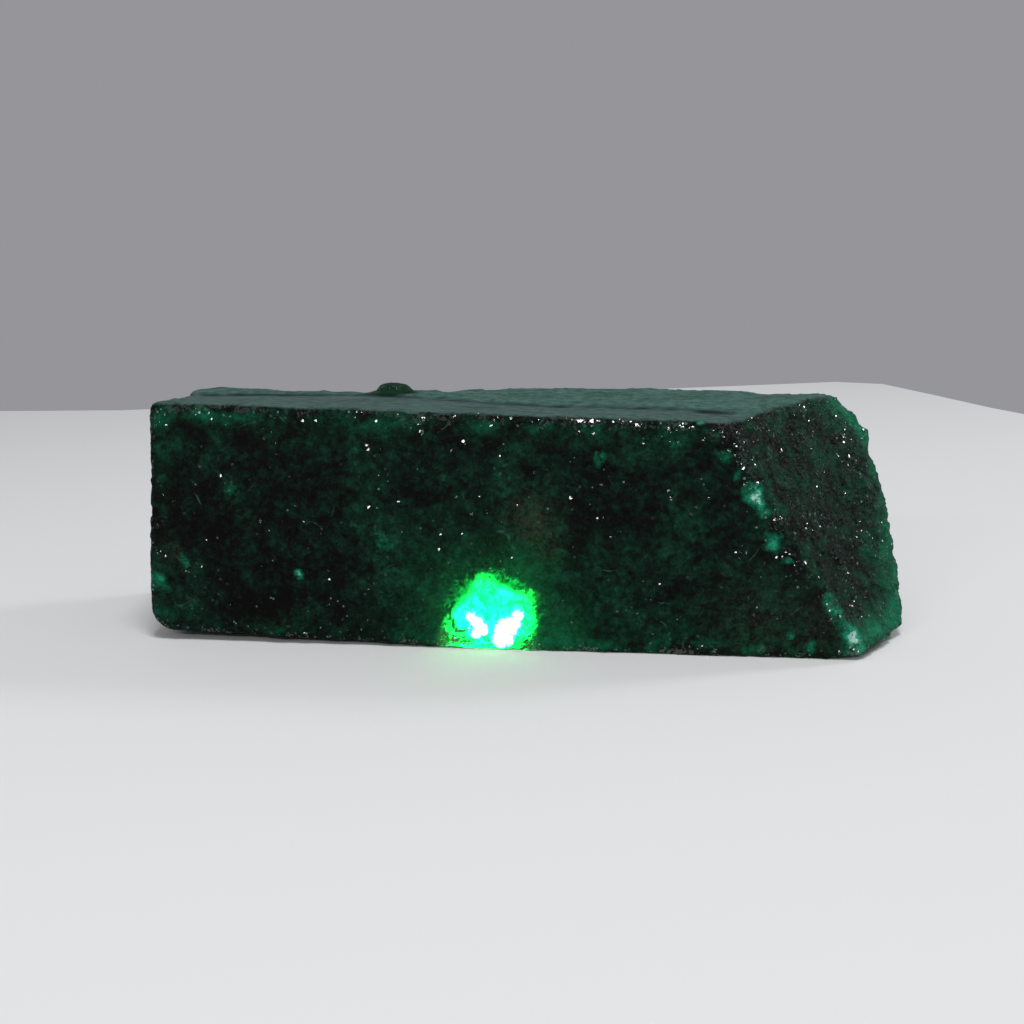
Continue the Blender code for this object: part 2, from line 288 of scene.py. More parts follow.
# %% [markdown]
# ## Marks with a place of their own
#
# Most of the stone's pattern is chance and can be left to noise.  A few marks are not.  The ridge
# between the front and the break is bruised and pale in spots, one knot in the front is brown,
# and at the foot of the front there is a clear window.  They could be brushed on as vertex
# colours.  A table is easier to change: each mark is a soft round patch with a place along the
# stone, a depth, a height, a radius and a strength.

# %% The marks
FRONT = -14.3                    # mm: the depth of the front face
PALE_MARKS = [                   # X, Y, Z, radius in mm, strength
    (20.4, FRONT, 27.0, 0.6, 0.8), (21.8, FRONT, 25.5, 0.7, 0.35), (23.2, FRONT, 23.4, 0.9, 0.4),
    (24.6, FRONT, 21.4, 0.8, 0.3), (26.4, FRONT, 18.8, 1.3, 0.6), (26.9, FRONT, 18.0, 0.6, 0.9),
    (27.9, FRONT, 16.8, 0.8, 0.6), (28.8, FRONT, 13.8, 1.2, 0.55), (30.6, FRONT, 11.6, 0.6, 0.4),
    (35.4, FRONT, 7.4, 0.8, 0.4), (36.4, FRONT, 5.6, 1.1, 0.45), (38.0, FRONT, 3.4, 1.6, 0.55),
    (38.6, FRONT, 2.8, 0.6, 0.7), (39.6, FRONT, 1.4, 1.4, 0.5), (33.4, FRONT, 1.4, 1.0, 0.4),
    (31.0, FRONT, 2.6, 0.6, 0.5), (-42.8, FRONT, 6.9, 1.3, 0.5), (-44.4, FRONT, 25.6, 1.2, 0.5),
    (-39.6, FRONT, 9.6, 0.6, 0.5), (-25.6, FRONT, 8.4, 0.5, 0.7), (-15.4, FRONT, 12.6, 1.9, 0.27),
    (17.9, FRONT, 24.4, 0.7, 0.4), (9.3, FRONT, 22.6, 0.8, 0.35), (-33.4, FRONT, 18.4, 0.9, 0.3),
]
BROWN_MARKS = [
    (1.4, FRONT, 15.5, 2.6, 1.0), (3.6, FRONT, 12.0, 1.6, 0.5), (-40.8, FRONT, 10.6, 1.2, 0.7),
    (27.5, FRONT, 4.5, 5.0, 0.35), (35.0, FRONT, 4.0, 3.0, 0.40),
]
GLOW_MARKS = [(-3.2, FRONT, 3.0, 7.4, 1.0), (0.6, FRONT, 10.0, 2.6, 0.4), (5.4, FRONT, 2.0, 3.0, 0.35)]
LUMP_MARKS = [(LUMP_X, LUMP_Y, LUMP_TOP - 0.4, 2.2, 1.7)]
print("marks:", len(PALE_MARKS), "pale,", len(BROWN_MARKS), "brown,", len(GLOW_MARKS), "glowing")

# %% Soft patches at the marks
WARP_CELL = 1.6 * MM             # ragged outlines: places are shifted by noise of this size
WARP_REACH = 0.9                 # mm
WARP_SEED = 7                    # noise vectors differ from run to run unless they are seeded
LUMP_RAGGED = 0.3                # the lump's outline is less ragged than the others

seed_set(WARP_SEED)
warp = np.array([noise_vector(Vector(place) / WARP_CELL) for place in points]) * WARP_REACH


def patches(marks, ragged=1.0):
    """One weight per point: how deep it lies in any of the marks."""
    total = np.zeros(len(points))
    for x, y, z, radius, weight in marks:
        gap = np.linalg.norm(points / MM + warp * ragged - (x, y, z), axis=1) / radius
        total += weight * np.exp(-gap ** 2)
    return np.clip(total, 0.0, 1.0)


pale = patches(PALE_MARKS)
brown = patches(BROWN_MARKS)
glow = patches(GLOW_MARKS)
lump = patches(LUMP_MARKS, LUMP_RAGGED)
for name, weights in {"pale": pale, "brown": brown, "glow": glow, "lump": lump}.items():
    print(name, "points:", int(weights.sum()))

# %% [markdown]
# ## The outline of the clear window
#
# The window is not a soft patch.  It is a plate of clean crystal between cracks, so it has a
# sharp outline of its own: a long slant on the left, two peaks, and an upright side.  Cutting it
# out as a separate mesh would leave a seam in a stone that has none.  The outline is a list of
# corners on the front face instead, and each point of the skin gets its distance to it.

# %% Distance to an outline
def depth_inside(outline, across, up):
    """The distance to an outline in mm: positive inside it, negative outside."""
    nearest = np.full(len(across), np.inf)
    inside = np.zeros(len(across), bool)
    for (x0, z0), (x1, z1) in zip(outline, outline[1:] + outline[:1]):
        along = ((across - x0) * (x1 - x0) + (up - z0) * (z1 - z0)) / ((x1 - x0) ** 2 + (z1 - z0) ** 2)
        along = np.clip(along, 0.0, 1.0)
        gap = np.hypot(across - x0 - along * (x1 - x0), up - z0 - along * (z1 - z0))
        nearest = np.minimum(nearest, gap)
        if z0 != z1:
            crosses = (z0 > up) != (z1 > up)
            inside ^= crosses & (across < (up - z0) * (x1 - x0) / (z1 - z0) + x0)
    return np.where(inside, nearest, -nearest)


SQUARE = [(-1.0, -1.0), (1.0, -1.0), (1.0, 1.0), (-1.0, 1.0)]
print("the middle of a square 2 mm wide is", depth_inside(SQUARE, np.zeros(1), np.zeros(1))[0], "mm deep")

# %% The window's outline
WINDOW_OUTLINE = [               # X and Z in mm, round the window
    (-9.6, -1.0), (-9.4, 1.2), (-8.6, 3.2), (-7.5, 4.8), (-6.3, 6.1), (-5.5, 6.9), (-5.0, 8.3),
    (-4.2, 9.3), (-2.8, 8.6), (-2.4, 7.4), (-1.7, 7.7), (-0.7, 7.1), (-0.2, 6.6), (1.1, 7.5),
    (2.5, 6.5), (2.0, 4.8), (2.1, 3.4), (1.9, -1.0),
]
WINDOW_BLUR = 0.5                # mm over which the window's side fades
WINDOW_RAGGED = 0.35
WINDOW_BACK = FRONT + 1.5        # mm: no point deeper in the stone belongs to the window

window_depth = depth_inside(WINDOW_OUTLINE, points[:, 0] / MM, points[:, 2] / MM)
window_depth += warp[:, 1] * WINDOW_RAGGED
window = share(window_depth, -WINDOW_BLUR, WINDOW_BLUR)
window *= points[:, 1] < WINDOW_BACK * MM
print("window points:", int(window.sum()))

# %% [markdown]
# ## Grain
#
# A sawn face of rough emerald looks like packed sugar, because the crystal parts along countless
# small flaws.  Noise would make soft hills.  Real grains are flat little faces that meet in
# corners, so each grain here is the set of points nearest to one random seed, and it is pressed
# onto a plane of its own with a slight tilt.

# %% Grains with flat faces
GRAINS = [(3.4, 0.060), (1.5, 0.100), (0.8, 0.120)]    # width in mm, and tilt
GRAIN_SEED = 7

rng = np.random.default_rng(GRAIN_SEED)


def grain_relief(places, width, tilt):
    """Depths that press each grain onto its own tilted plane."""
    count = int(len(places) * SKIN_CELL ** 2 / width ** 2)
    chosen = rng.choice(len(places), count, replace=False)
    seeds = KDTree(count)
    for number, place in enumerate(places[chosen]):
        seeds.insert(place, number)
    seeds.balance()
    nearest = np.array([seeds.find(place)[1] for place in places])
    tilts = rng.normal(0.0, tilt, (count, 3))
    away = places - places[chosen][nearest]
    print("grains", round(width / MM, 1), "mm wide:", count)
    return (tilts[nearest] * away).sum(axis=1)


grain_depth = sum(grain_relief(points, width * MM, tilt) for width, tilt in GRAINS)

# %% How strong the grain is on each face
GRAIN_ON_SAWN = 0.22
GRAIN_ON_COARSE = 0.55           # added on the break and the back
GRAIN_ON_EDGES = 0.20            # added on the edges of sawn faces
TOP_EVENNESS = 0.80              # the top is this much flatter

strength = GRAIN_ON_SAWN + GRAIN_ON_COARSE * coarse + GRAIN_ON_EDGES * edge * (1.0 - coarse)
strength *= (1.0 - TOP_EVENNESS * top * (1.0 - edge)) * (1.0 - underside)
depth = grain_depth * strength
points = points + normals * depth[:, None]
points[:, 2] = np.maximum(points[:, 2], 0.0)
points = np.clip(points, np.array(LOW), np.array(HIGH))
write_points(skin, points)
print("relief in mm:", round(float(depth.min() / MM), 2), round(float(depth.max() / MM), 2))

# %% [markdown]
# ### Measures the material can read
#
# Everything measured so far is a number per point.  Stored as named attributes on the mesh, the
# numbers travel with the stone, and nodes can read them by name.  Vertex colours would do too,
# but a plain number needs only one channel.  Flat shading keeps each grain's face flat.

# %% Keep the measures on the mesh
MEASURES = {
    "edge": edge, "thin": thin, "top": top, "coarse": coarse, "second_pass": second_pass,
    "hollow": hollow, "underside": underside, "pale": pale, "brown": brown, "glow": glow,
    "window": window, "lump": lump,
}

for name, values in MEASURES.items():
    layer = skin.attributes.new(name, "FLOAT", "POINT")
    layer.data.foreach_set("value", values.astype(np.float32))
skin.shade_flat()
print("measures kept:", len(MEASURES))

# %% [markdown]
# ## The emerald's substance
#
# Emerald is green glass full of flaws.  Light that enters is soaked up, red first, so a thick
# stone is nearly black and a thin edge glows green.  That is transmission with the crystal's own
# refractive index, and absorption in its volume.  The flaws just under the surface send a little
# light back: that is the base colour, dark and cloudy.
#
# The cloudiness could be a scattering volume with real bubbles.  It would be slow and noisy, and
# it would look much the same, because in so dark a stone only the outermost millimetre is seen.
# The nodes are added by small helpers, so that each line below reads as one thought.

# %% Helpers for nodes
emerald = bpy.data.materials.new("emerald")
emerald.use_nodes = True
nodes = emerald.node_tree.nodes
links = emerald.node_tree.links
nodes.clear()


def feed(socket, value):
    """Link a socket, or set it to a plain value."""
    if isinstance(value, bpy.types.NodeSocket):
        links.new(value, socket)
    else:
        socket.default_value = value


def add(kind, inputs, **settings):
    """Add a node, set its properties, and feed its inputs."""
    made = nodes.new(kind)
    for name, value in settings.items():
        setattr(made, name, value)
    for name, value in inputs.items():
        feed(made.inputs[name], value)
    return made


def node_count(what):
    print(what, "- nodes so far:", len(nodes))


node_count("empty")


# %% Sums of numbers and of vectors
def maths(operation, *values, clamp=False):
    return add("ShaderNodeMath", dict(enumerate(values)), operation=operation, use_clamp=clamp).outputs[0]


def times(first, second, clamp=False):
    return maths("MULTIPLY", first, second, clamp=clamp)


def plus(first, second, clamp=False):
    return maths("ADD", first, second, clamp=clamp)


def line(value, slope, start, clamp=False):
    """Slope times the value, plus start."""
    return maths("MULTIPLY_ADD", value, slope, start, clamp=clamp)


def vectors(operation, *values):
    return add("ShaderNodeVectorMath", dict(enumerate(values)), operation=operation).outputs[0]


# %% Places in millimetres
object_place = add("ShaderNodeTexCoord", {}).outputs["Object"]
place_mm = vectors("MULTIPLY", object_place, (1.0 / MM,) * 3)
node_count("place")

# %% [markdown]
# ### Clouds
#
# The inside of the stone is uneven: veils of tiny bubbles, clear windows and dark knots.  One
# noise alone would look like a printed pattern.  Three sizes of it are added up here, and a cell
# pattern about as wide as a sugar grain breaks up the sum.

# %% Noise, cells and ramps
def noise(scale, detail=2.0, rough=0.5, place=place_mm):
    """Soft noise.  The scale is in lumps per millimetre."""
    return add("ShaderNodeTexNoise", {
        "Vector": place, "Scale": scale, "Detail": detail, "Roughness": rough,
    }).outputs["Fac"]


def cells_of(scale, feature="F1", place=place_mm):
    """Small cells.  The scale is in cells per millimetre."""
    return add("ShaderNodeTexVoronoi", {"Vector": place, "Scale": scale}, feature=feature)


def random_of(cell_node, channel):
    """One random number for each cell.  The channels 0, 1 and 2 differ."""
    return add("ShaderNodeSeparateColor", {"Color": cell_node.outputs["Color"]}).outputs[channel]


def ramp(factor, stops):
    """A colour ramp: stops are (position, colour)."""
    made = add("ShaderNodeValToRGB", {"Fac": factor})
    elements = made.color_ramp.elements
    while len(elements) < len(stops):
        elements.new(0.5)
    for element, (position, colour) in zip(elements, stops):
        element.position = position
        element.color = (*colour, 1.0)
    return made.outputs["Color"]


# %% Cloudy body colour
NEARLY_BLACK = (0.0032, 0.0030, 0.0031)
DEEP_GREEN = (0.0030, 0.0110, 0.0075)
CLOUD_GREEN = (0.0050, 0.0300, 0.0170)
VEIL_GREEN = (0.0080, 0.0780, 0.0380)
WIDE, MIDDLE, FINE = 0.10, 0.36, 1.3         # lumps of cloud per millimetre
SUGAR = 1.5                                  # sugar grains per millimetre
WIDE_WEIGHT, MIDDLE_WEIGHT, FINE_WEIGHT, SUGAR_WEIGHT = 0.42, 0.42, 0.36, 0.10

wide_cloud = noise(WIDE)
middle_cloud = noise(MIDDLE, detail=3.0, rough=0.6)
fine_cloud = noise(FINE, detail=4.0, rough=0.75)
cloud = plus(times(wide_cloud, WIDE_WEIGHT), times(middle_cloud, MIDDLE_WEIGHT))
cloud = line(fine_cloud, FINE_WEIGHT, cloud)
cloud = line(random_of(cells_of(SUGAR), 0), SUGAR_WEIGHT, cloud)
body_colour = ramp(cloud, [
    (0.57, NEARLY_BLACK),
    (0.66, DEEP_GREEN),
    (0.76, CLOUD_GREEN),
    (0.88, VEIL_GREEN),
])
fine_contrast = line(fine_cloud, 3.0, -1.0, clamp=True)      # the same fine cloud, but harsher
node_count("clouds")

# %% [markdown]
# ### Green rims
#
# A rim of thin emerald is lit from inside and turns green.  That light is painted: two greens are
# laid over the clouds in the base colour, a dim one along every edge, and a clear one where the
# stone is thinnest.  An even rim would look like a picture frame, so noise moves its border in and out.

# %% Measures, fades and mixes
def measure(name):
    """A measure that was kept on the mesh."""
    return add("ShaderNodeAttribute", {}, attribute_name=name).outputs["Fac"]


def fade(factor, start, end, least=0.0, most=1.0):
    """A ramp between two greys, used as a number."""
    return ramp(factor, [(start, (least,) * 3), (end, (most,) * 3)])


def mix(factor, first, second, blend="MIX"):
    made = add("ShaderNodeMix", {0: factor}, data_type="RGBA", blend_type=blend)
    for socket, value in ((made.inputs[6], first), (made.inputs[7], second)):
        feed(socket, (*value, 1.0) if isinstance(value, tuple) else value)
    return made.outputs[2]


# %% Thin stone and edges are greener
# painted glow: both greens stand for light that crosses thin stone, laid into the base colour
PAINTED_RIM_GLOW = (0.0010, 0.1900, 0.0880)
PAINTED_EDGE_GLOW = (0.0030, 0.0620, 0.0270)
BORDER_WANDER = 0.22             # how far noise moves the border, as a thinness
EDGE_FROM, EDGE_SLOPE = 0.058, 7.5
RIM_FROM, RIM_SLOPE = 0.16, 3.8
RIM_CLARITY = 0.45               # the share of the rim that clouds can't hide

thin_ragged = plus(measure("thin"), times(plus(middle_cloud, -0.5), BORDER_WANDER))
edge_cloud = fade(noise(0.20, detail=4.0, rough=0.65), start=0.42, end=0.60, least=0.05)
edge_glow_share = times(plus(thin_ragged, -EDGE_FROM), EDGE_SLOPE, clamp=True)
edge_glow_share = times(times(edge_glow_share, edge_cloud), fine_contrast)
body_colour = mix(edge_glow_share, body_colour, PAINTED_EDGE_GLOW)
thin_share = times(plus(thin_ragged, -RIM_FROM), RIM_SLOPE, clamp=True)
thin_share = times(thin_share, plus(fine_contrast, RIM_CLARITY), clamp=True)
body_colour = mix(thin_share, body_colour, PAINTED_RIM_GLOW)
node_count("green rims")

# %% [markdown]
# ### The knot and the break
#
# A knot of brown rock shows in the front.  The break is painted a little grey, partly dust and
# partly painted sheen, the dull reflection of the paper beside it; it also has green patches of
# its own.  Brown or grey laid on evenly would look like paint.  Fine grit, which is noise with hard
# contrast, lets the crystal show between the grains.

# %% Brown knot, dust and painted sheen, and the break's own green
BROWN_KNOT = (0.0300, 0.0300, 0.0160)
BREAK_DUST_AND_SHEEN = (0.0380, 0.0560, 0.0440)
BREAK_GREEN = (0.0060, 0.0560, 0.0290)
DUST_AND_SHEEN = 0.30                      # how much of the break the dust and painted sheen hide at most
BREAK_PATCHES = 0.8
GRIT = 2.6                       # specks of grit per millimetre
GRIT_SLOPE, GRIT_START = 4.0, -1.5

broken = measure("coarse")
grit = line(noise(GRIT, rough=0.7), GRIT_SLOPE, GRIT_START, clamp=True)
body_colour = mix(times(measure("brown"), grit), body_colour, BROWN_KNOT)
# painted sheen: the break's grey is partly dust and partly the paper's dull reflection
body_colour = mix(times(times(broken, grit), DUST_AND_SHEEN), body_colour, BREAK_DUST_AND_SHEEN)
break_cloud = fade(noise(0.33, detail=3.0, rough=0.6), start=0.50, end=0.66, most=BREAK_PATCHES)
body_colour = mix(times(break_cloud, broken), body_colour, BREAK_GREEN)
node_count("knot and break")

# %% [markdown]
# ### Bruises and specks
#
# Crushed crystal is white, so a bruise fades from white through mint to green.  Single specks of
# it are scattered all over.  Separate little meshes would be far too many.  Specks come from a
# cell pattern instead: a cell is painted when its random number is low, and only in its middle.

# %% Pale bruises and specks
PALE_BRUISE = [
    (0.08, (0.0, 0.0, 0.0)),
    (0.30, (0.0050, 0.1000, 0.0520)),
    (0.60, (0.0200, 0.2800, 0.1700)),
    (0.90, (0.4000, 0.6500, 0.5600)),
]
BRUISE_CLARITY = 0.40            # the share of a bruise that clouds can't hide
SPECK = (0.0900, 0.1900, 0.1450)
SPECK_SCALE = 2.4                # specks are a few tenths of a millimetre wide
SPECK_SHARE = 0.014              # about one cell in seventy holds a speck
SPECK_SHARE_IN_BRUISE = 0.25     # and in a bruise about one in four
SPECK_RADIUS = 0.36              # of a cell

bruise = times(measure("pale"), plus(fine_contrast, BRUISE_CLARITY))
body_colour = mix(1.0, body_colour, ramp(bruise, PALE_BRUISE), blend="LIGHTEN")
speck_cells = cells_of(SPECK_SCALE)
speck_chance = line(measure("pale"), SPECK_SHARE_IN_BRUISE, SPECK_SHARE)
is_speck = maths("LESS_THAN", random_of(speck_cells, 1), speck_chance)
in_middle = maths("LESS_THAN", speck_cells.outputs["Distance"], SPECK_RADIUS)
body_colour = mix(times(is_speck, in_middle), body_colour, SPECK)
node_count("bruises and specks")

# %% [markdown]
# ### Hairline cracks
#
# A few healed cracks show as pale hairs.  They could be drawn as curves, but the border between
# cells of a coarse cell pattern is already a net of fine lines.  Noise bends the net, and a
# second noise hides most of it, so that only short pieces of hair are left.

# %% Bend a pattern
def bent_place(scale, detail, reach):
    """The place in mm, pushed about by noise, so that straight cells get crooked."""
    push = add("ShaderNodeTexNoise", {"Vector": place_mm, "Scale": scale, "Detail": detail})
    return vectors("MULTIPLY_ADD", push.outputs["Color"], (reach,) * 3, place_mm)


# %% Hairline cracks
CRACK_PALE = (0.0600, 0.1500, 0.1100)
CRACK_SCALE = 0.16               # about one crack every 6 mm
CRACK_WIDTH = 0.010              # a share of the cell
CRACK_STRENGTH = 0.6

crack_place = bent_place(scale=0.35, detail=2.0, reach=1.0)
crack_edge = cells_of(CRACK_SCALE, "DISTANCE_TO_EDGE", crack_place).outputs["Distance"]
crack_line = maths("LESS_THAN", crack_edge, CRACK_WIDTH)
crack_seen = fade(noise(0.28, detail=3.0), start=0.58, end=0.68, most=CRACK_STRENGTH)
crack_seen = times(times(crack_line, crack_seen), fine_contrast)
body_colour = mix(crack_seen, body_colour, CRACK_PALE)
node_count("cracks")

# %% [markdown]
# ### The clear window
#
# Inside the window's outline the crystal is clean enough to see into.  Its share of transmission
# is high there and nearly nothing elsewhere.  One even share would look like a pane of glass.
# Cracks divide it into panels instead, and each panel lets through a share of its own, with
# smaller splinters inside.  Round it lies a dim halo, where the torch light leaks sideways through
# the clouds; its green is painted glow in the base colour.

# %% Panels and splinters between the cracks
PANEL_SCALE = 0.42               # panels between cracks, about 2.4 mm wide
SPLINTER_SCALE = 1.3             # splinters inside a panel
PANEL_WEIGHT, SPLINTER_WEIGHT, MIST_WEIGHT = 0.60, 0.50, 0.60
CLOUDIEST_PANEL = 0.22           # even the cloudiest part of the window lets this share through
CRACK_SHADE = 0.5                # a crack halves the light

panel_place = bent_place(scale=0.5, detail=3.0, reach=1.8)
panel_value = random_of(cells_of(PANEL_SCALE, place=panel_place), 0)
splinter_value = random_of(cells_of(SPLINTER_SCALE, place=panel_place), 0)
crack_gap = cells_of(PANEL_SCALE, "DISTANCE_TO_EDGE", panel_place).outputs["Distance"]
clear = plus(times(panel_value, PANEL_WEIGHT), times(splinter_value, SPLINTER_WEIGHT))
clear = plus(clear, times(plus(fine_cloud, -0.5), MIST_WEIGHT), clamp=True)
clear = maths("MAXIMUM", clear, CLOUDIEST_PANEL)
clear = times(clear, fade(crack_gap, start=0.0, end=0.06, least=CRACK_SHADE))
clear = times(clear, measure("window"))
node_count("window panels")

# %% Halo round the window
WINDOW_TINT_AND_GLOW = (0.0045, 0.2400, 0.0400)
HALO_GLOW_PAINT = (0.0012, 0.1700, 0.0480)
HALO_FROM = 0.12                 # the halo lets no light through where the glow is weaker
HALO_LEAST, HALO_CLOUD = 0.055, 0.08
HALO_TINT, HALO_TINT_CLOUD = 0.25, 0.6

glow_share = measure("glow")
haze = times(plus(glow_share, -HALO_FROM, clamp=True), line(fine_contrast, HALO_CLOUD, HALO_LEAST))
window_glass = maths("MAXIMUM", clear, haze)
halo_glow_paint = times(glow_share, line(fine_contrast, HALO_TINT_CLOUD, HALO_TINT))
# painted glow: the halo's green stands for torch light leaking sideways through the clouds
body_colour = mix(halo_glow_paint, body_colour, HALO_GLOW_PAINT)
# the window's green tints the torch light that passes its glass, and where the glass is cloudy it is
# painted glow
body_colour = mix(measure("window"), body_colour, WINDOW_TINT_AND_GLOW)
node_count("halo_glow_paint")

# %% [markdown]
# ### The sawn top
#
# The saw left the top dry and frosted.  Its pale colours are partly stone dust and partly painted
# sheen, the grazing reflection of the grey wall: the first pass is grey, and the second, behind the
# step, is cleaner and teal.  Both carry fine marks along the block.  Grooves cut into the mesh would
# be finer than its cells, so the marks are noise that is stretched ten times along the block.  Small
# hollows in the top are painted darker, as painted shade.

# %% Dry saw marks on the top
# painted sheen: the top's grey and teal stand partly for saw dust and partly for the wall's grazing
# reflection
TOP_DUST_AND_SHEEN = (0.066, 0.118, 0.108)
TOP_TEAL_SHEEN = (0.060, 0.142, 0.116)
TOP_STREAK = (0.026, 0.062, 0.050)
TOP_MOTTLE = [(0.35, (0.45, 0.62, 0.55)), (0.62, (1.2, 1.2, 1.2))]
LUMP_GREEN = (0.007, 0.032, 0.015)
ALONG_THE_BLOCK = (0.10, 1.0, 0.4)
SECOND_PASS_TEAL = 0.8
STREAK_STRENGTH = 0.45

top_share = measure("top")
long_place = add("ShaderNodeMapping", {"Vector": place_mm, "Scale": ALONG_THE_BLOCK}).outputs[0]
streak = fade(noise(1.6, detail=4.0, place=long_place), start=0.40, end=0.62)
top_colour = mix(times(measure("second_pass"), SECOND_PASS_TEAL), TOP_DUST_AND_SHEEN, TOP_TEAL_SHEEN)
top_colour = mix(times(streak, STREAK_STRENGTH), top_colour, TOP_STREAK)
top_mottle = ramp(noise(0.8, detail=4.0, rough=0.75), TOP_MOTTLE)
top_colour = mix(1.0, top_colour, top_mottle, blend="MULTIPLY")
# painted shade: small hollows in the top are darkened
top_colour = mix(measure("hollow"), top_colour, DEEP_GREEN)
colour = mix(top_share, body_colour, top_colour)
colour = mix(measure("lump"), colour, LUMP_GREEN)
node_count("sawn top")

# %% [markdown]
# ### Glints
#
# Here and there a grain is split along a clean plane, and it flashes when that plane happens to
# face a lamp.  Painted white dots would stay white from everywhere.  Instead each small cell gets
# its own tilt, and a few cells are smooth: they catch the light only from the right place.
#
# Clean splits are common along the sawn edges, which the saw has chipped, and rarer on the break
# and the faces.  The left end and the upright edges beside it are worn dull.

# %% Which cells are split clean
FACET_SCALE = 3.8                # cells per millimetre, so a facet is about a quarter of one wide
SPLIT_ON_EDGE = 0.36             # the share of clean cells right on a sawn edge
EDGE_SHARPNESS = 2.5             # how fast that share falls beside the edge
LESS_ON_BREAK = 0.30             # the break's own edges have that much less
SPLIT_ON_FACES, SPLIT_ON_BREAK = 0.006, 0.028
LESS_IN_THIN = 0.4
WORN_X, WORN_Z = -41.9, 25.5     # mm: the left end and its edges are worn, below the top corner
WORN_SHARE = 0.85

facet_cells = cells_of(FACET_SCALE)
facet_pick = random_of(facet_cells, 2)
x_place, _, z_place = add("ShaderNodeSeparateXYZ", {"Vector": place_mm}).outputs
worn = times(maths("LESS_THAN", x_place, WORN_X), maths("LESS_THAN", z_place, WORN_Z))
edge_chance = times(maths("POWER", measure("edge"), EDGE_SHARPNESS), line(worn, -WORN_SHARE, 1.0))
edge_chance = times(edge_chance, line(broken, -LESS_ON_BREAK, SPLIT_ON_EDGE))
clean_chance = plus(edge_chance, line(broken, SPLIT_ON_BREAK, SPLIT_ON_FACES))
clean_chance = times(clean_chance, fade(noise(0.30), start=0.44, end=0.64, least=0.12, most=1.9))
clean_chance = times(clean_chance, line(thin_share, -LESS_IN_THIN, 1.0))
not_top = maths("SUBTRACT", 1.0, top_share)
clean_split = times(maths("LESS_THAN", facet_pick, clean_chance), not_top)
node_count("clean splits")

# %% A tilt for each cell
TILT = 0.75                      # the whole spread of tilts, from side to side
CALM_IN_WINDOW, CALM_ON_BREAK, CALM_IN_SPLIT = 0.40, 0.25, 0.59
LEAST_TILT = 0.16
CALM_REACH = 1.7                 # how far the calm spreads round the window
SPLIT_LEAN = (-0.06, 0.0, 0.36)  # the crystal splits along one plane, so clean facets all lean alike

window_calm = times(glow_share, CALM_REACH, clamp=True)
tilt = line(window_calm, -CALM_IN_WINDOW, TILT)
tilt = line(broken, -CALM_ON_BREAK, tilt)
tilt = line(clean_split, -CALM_IN_SPLIT, tilt)
tilt = times(maths("MAXIMUM", tilt, LEAST_TILT), not_top)
any_way = vectors("SUBTRACT", facet_cells.outputs["Color"], (0.5, 0.5, 0.5))
facet_normal = add("ShaderNodeNewGeometry", {}).outputs["Normal"]
facet_normal = vectors("MULTIPLY_ADD", any_way, tilt, facet_normal)
facet_normal = vectors("MULTIPLY_ADD", SPLIT_LEAN, clean_split, facet_normal)
facet_normal = vectors("NORMALIZE", facet_normal)
node_count("tilts")

# %% How rough each cell is
BODY_ROUGH = [(0.0, (0.22,) * 3), (0.5, (0.36,) * 3), (1.0, (0.50,) * 3)]
TOP_ROUGH = (0.46, 0.46, 0.46)
WINDOW_ROUGH = (0.36, 0.36, 0.36)

roughness = mix(top_share, ramp(facet_pick, BODY_ROUGH), TOP_ROUGH)
roughness = mix(window_calm, roughness, WINDOW_ROUGH)
node_count("roughness")

# %% [markdown]
# ### Skin and substance
#
# One shader makes the whole stone.  Its transmission weight says how much light enters.  The
# index of refraction, 1.58, is emerald's own, and the volume soaks up red, then blue, then green.
# A coat stands for the clean split faces: it is there only in the chosen cells, and it has the
# same tilted normal.  Glass, coat and volume could be three mixed shaders, but a single
# principled shader keeps the energy in balance, and other programs can read it.

# %% How much light goes through the skin
THROUGH_THICK = 0.03             # the share of light that enters thick stone
THROUGH_THIN = 0.06              # and what a thin rim adds to it

through = line(thin_share, THROUGH_THIN, THROUGH_THICK)
through = plus(through, window_glass, clamp=True)
through = times(through, maths("SUBTRACT", 1.0, measure("underside")))
node_count("transmission")

# %% The shader
shader = add("ShaderNodeBsdfPrincipled", {
    "Base Color": colour,
    "Roughness": roughness,
    "Normal": facet_normal,
    "IOR": 1.58,
    "Transmission Weight": through,
    "Specular IOR Level": 0.018,
    "Coat Weight": clean_split,
    "Coat Roughness": 0.08,
    "Coat IOR": 1.7,
    "Coat Normal": facet_normal,
})
soak = add("ShaderNodeVolumeAbsorption", {"Color": (0.01, 0.88, 0.75, 1.0), "Density": 1200.0})
add("ShaderNodeOutputMaterial", {"Surface": shader.outputs[0], "Volume": soak.outputs[0]})
skin.materials.clear()
skin.materials.append(emerald)
node_count("emerald")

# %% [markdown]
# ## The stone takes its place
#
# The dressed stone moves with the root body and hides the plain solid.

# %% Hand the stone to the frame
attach(stone, "root")
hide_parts("emerald")
print("dressed:", stone.name)

# %% [markdown]
# ## The paper under the stone
#
# The stone stands on a sheet of pale paper, in front of a grey wall.  The wall could be a second
# plane, but the world's colour does as well and throws no shadow.  The sheet is one flat
# polygon: it is wide in front, and its far edge runs unevenly behind the stone, as a torn sheet
# does, so that most of the top is seen against the wall.

# %% The sheet of paper
FAR_EDGE = [                     # X and Y in mm, from left to right behind the stone
    (-600, 150), (-159, 191), (-128, 196), (40, 274), (72, 289), (86, 284), (96, 256),
    (106, 226), (118, 198), (150, 176), (600, 110),
]
NEAR_EDGE = [(600, -600), (-600, -600)]
PAPER = (0.76, 0.77, 0.77, 1.0)

sheet = bpy.data.meshes.new("paper")
corners = [(x * MM, y * MM, 0.0) for x, y in FAR_EDGE + NEAR_EDGE]
sheet.from_pydata(corners, [], [tuple(reversed(range(len(corners))))])
floor = bpy.data.objects.new("floor", sheet)
bpy.context.scene.collection.objects.link(floor)

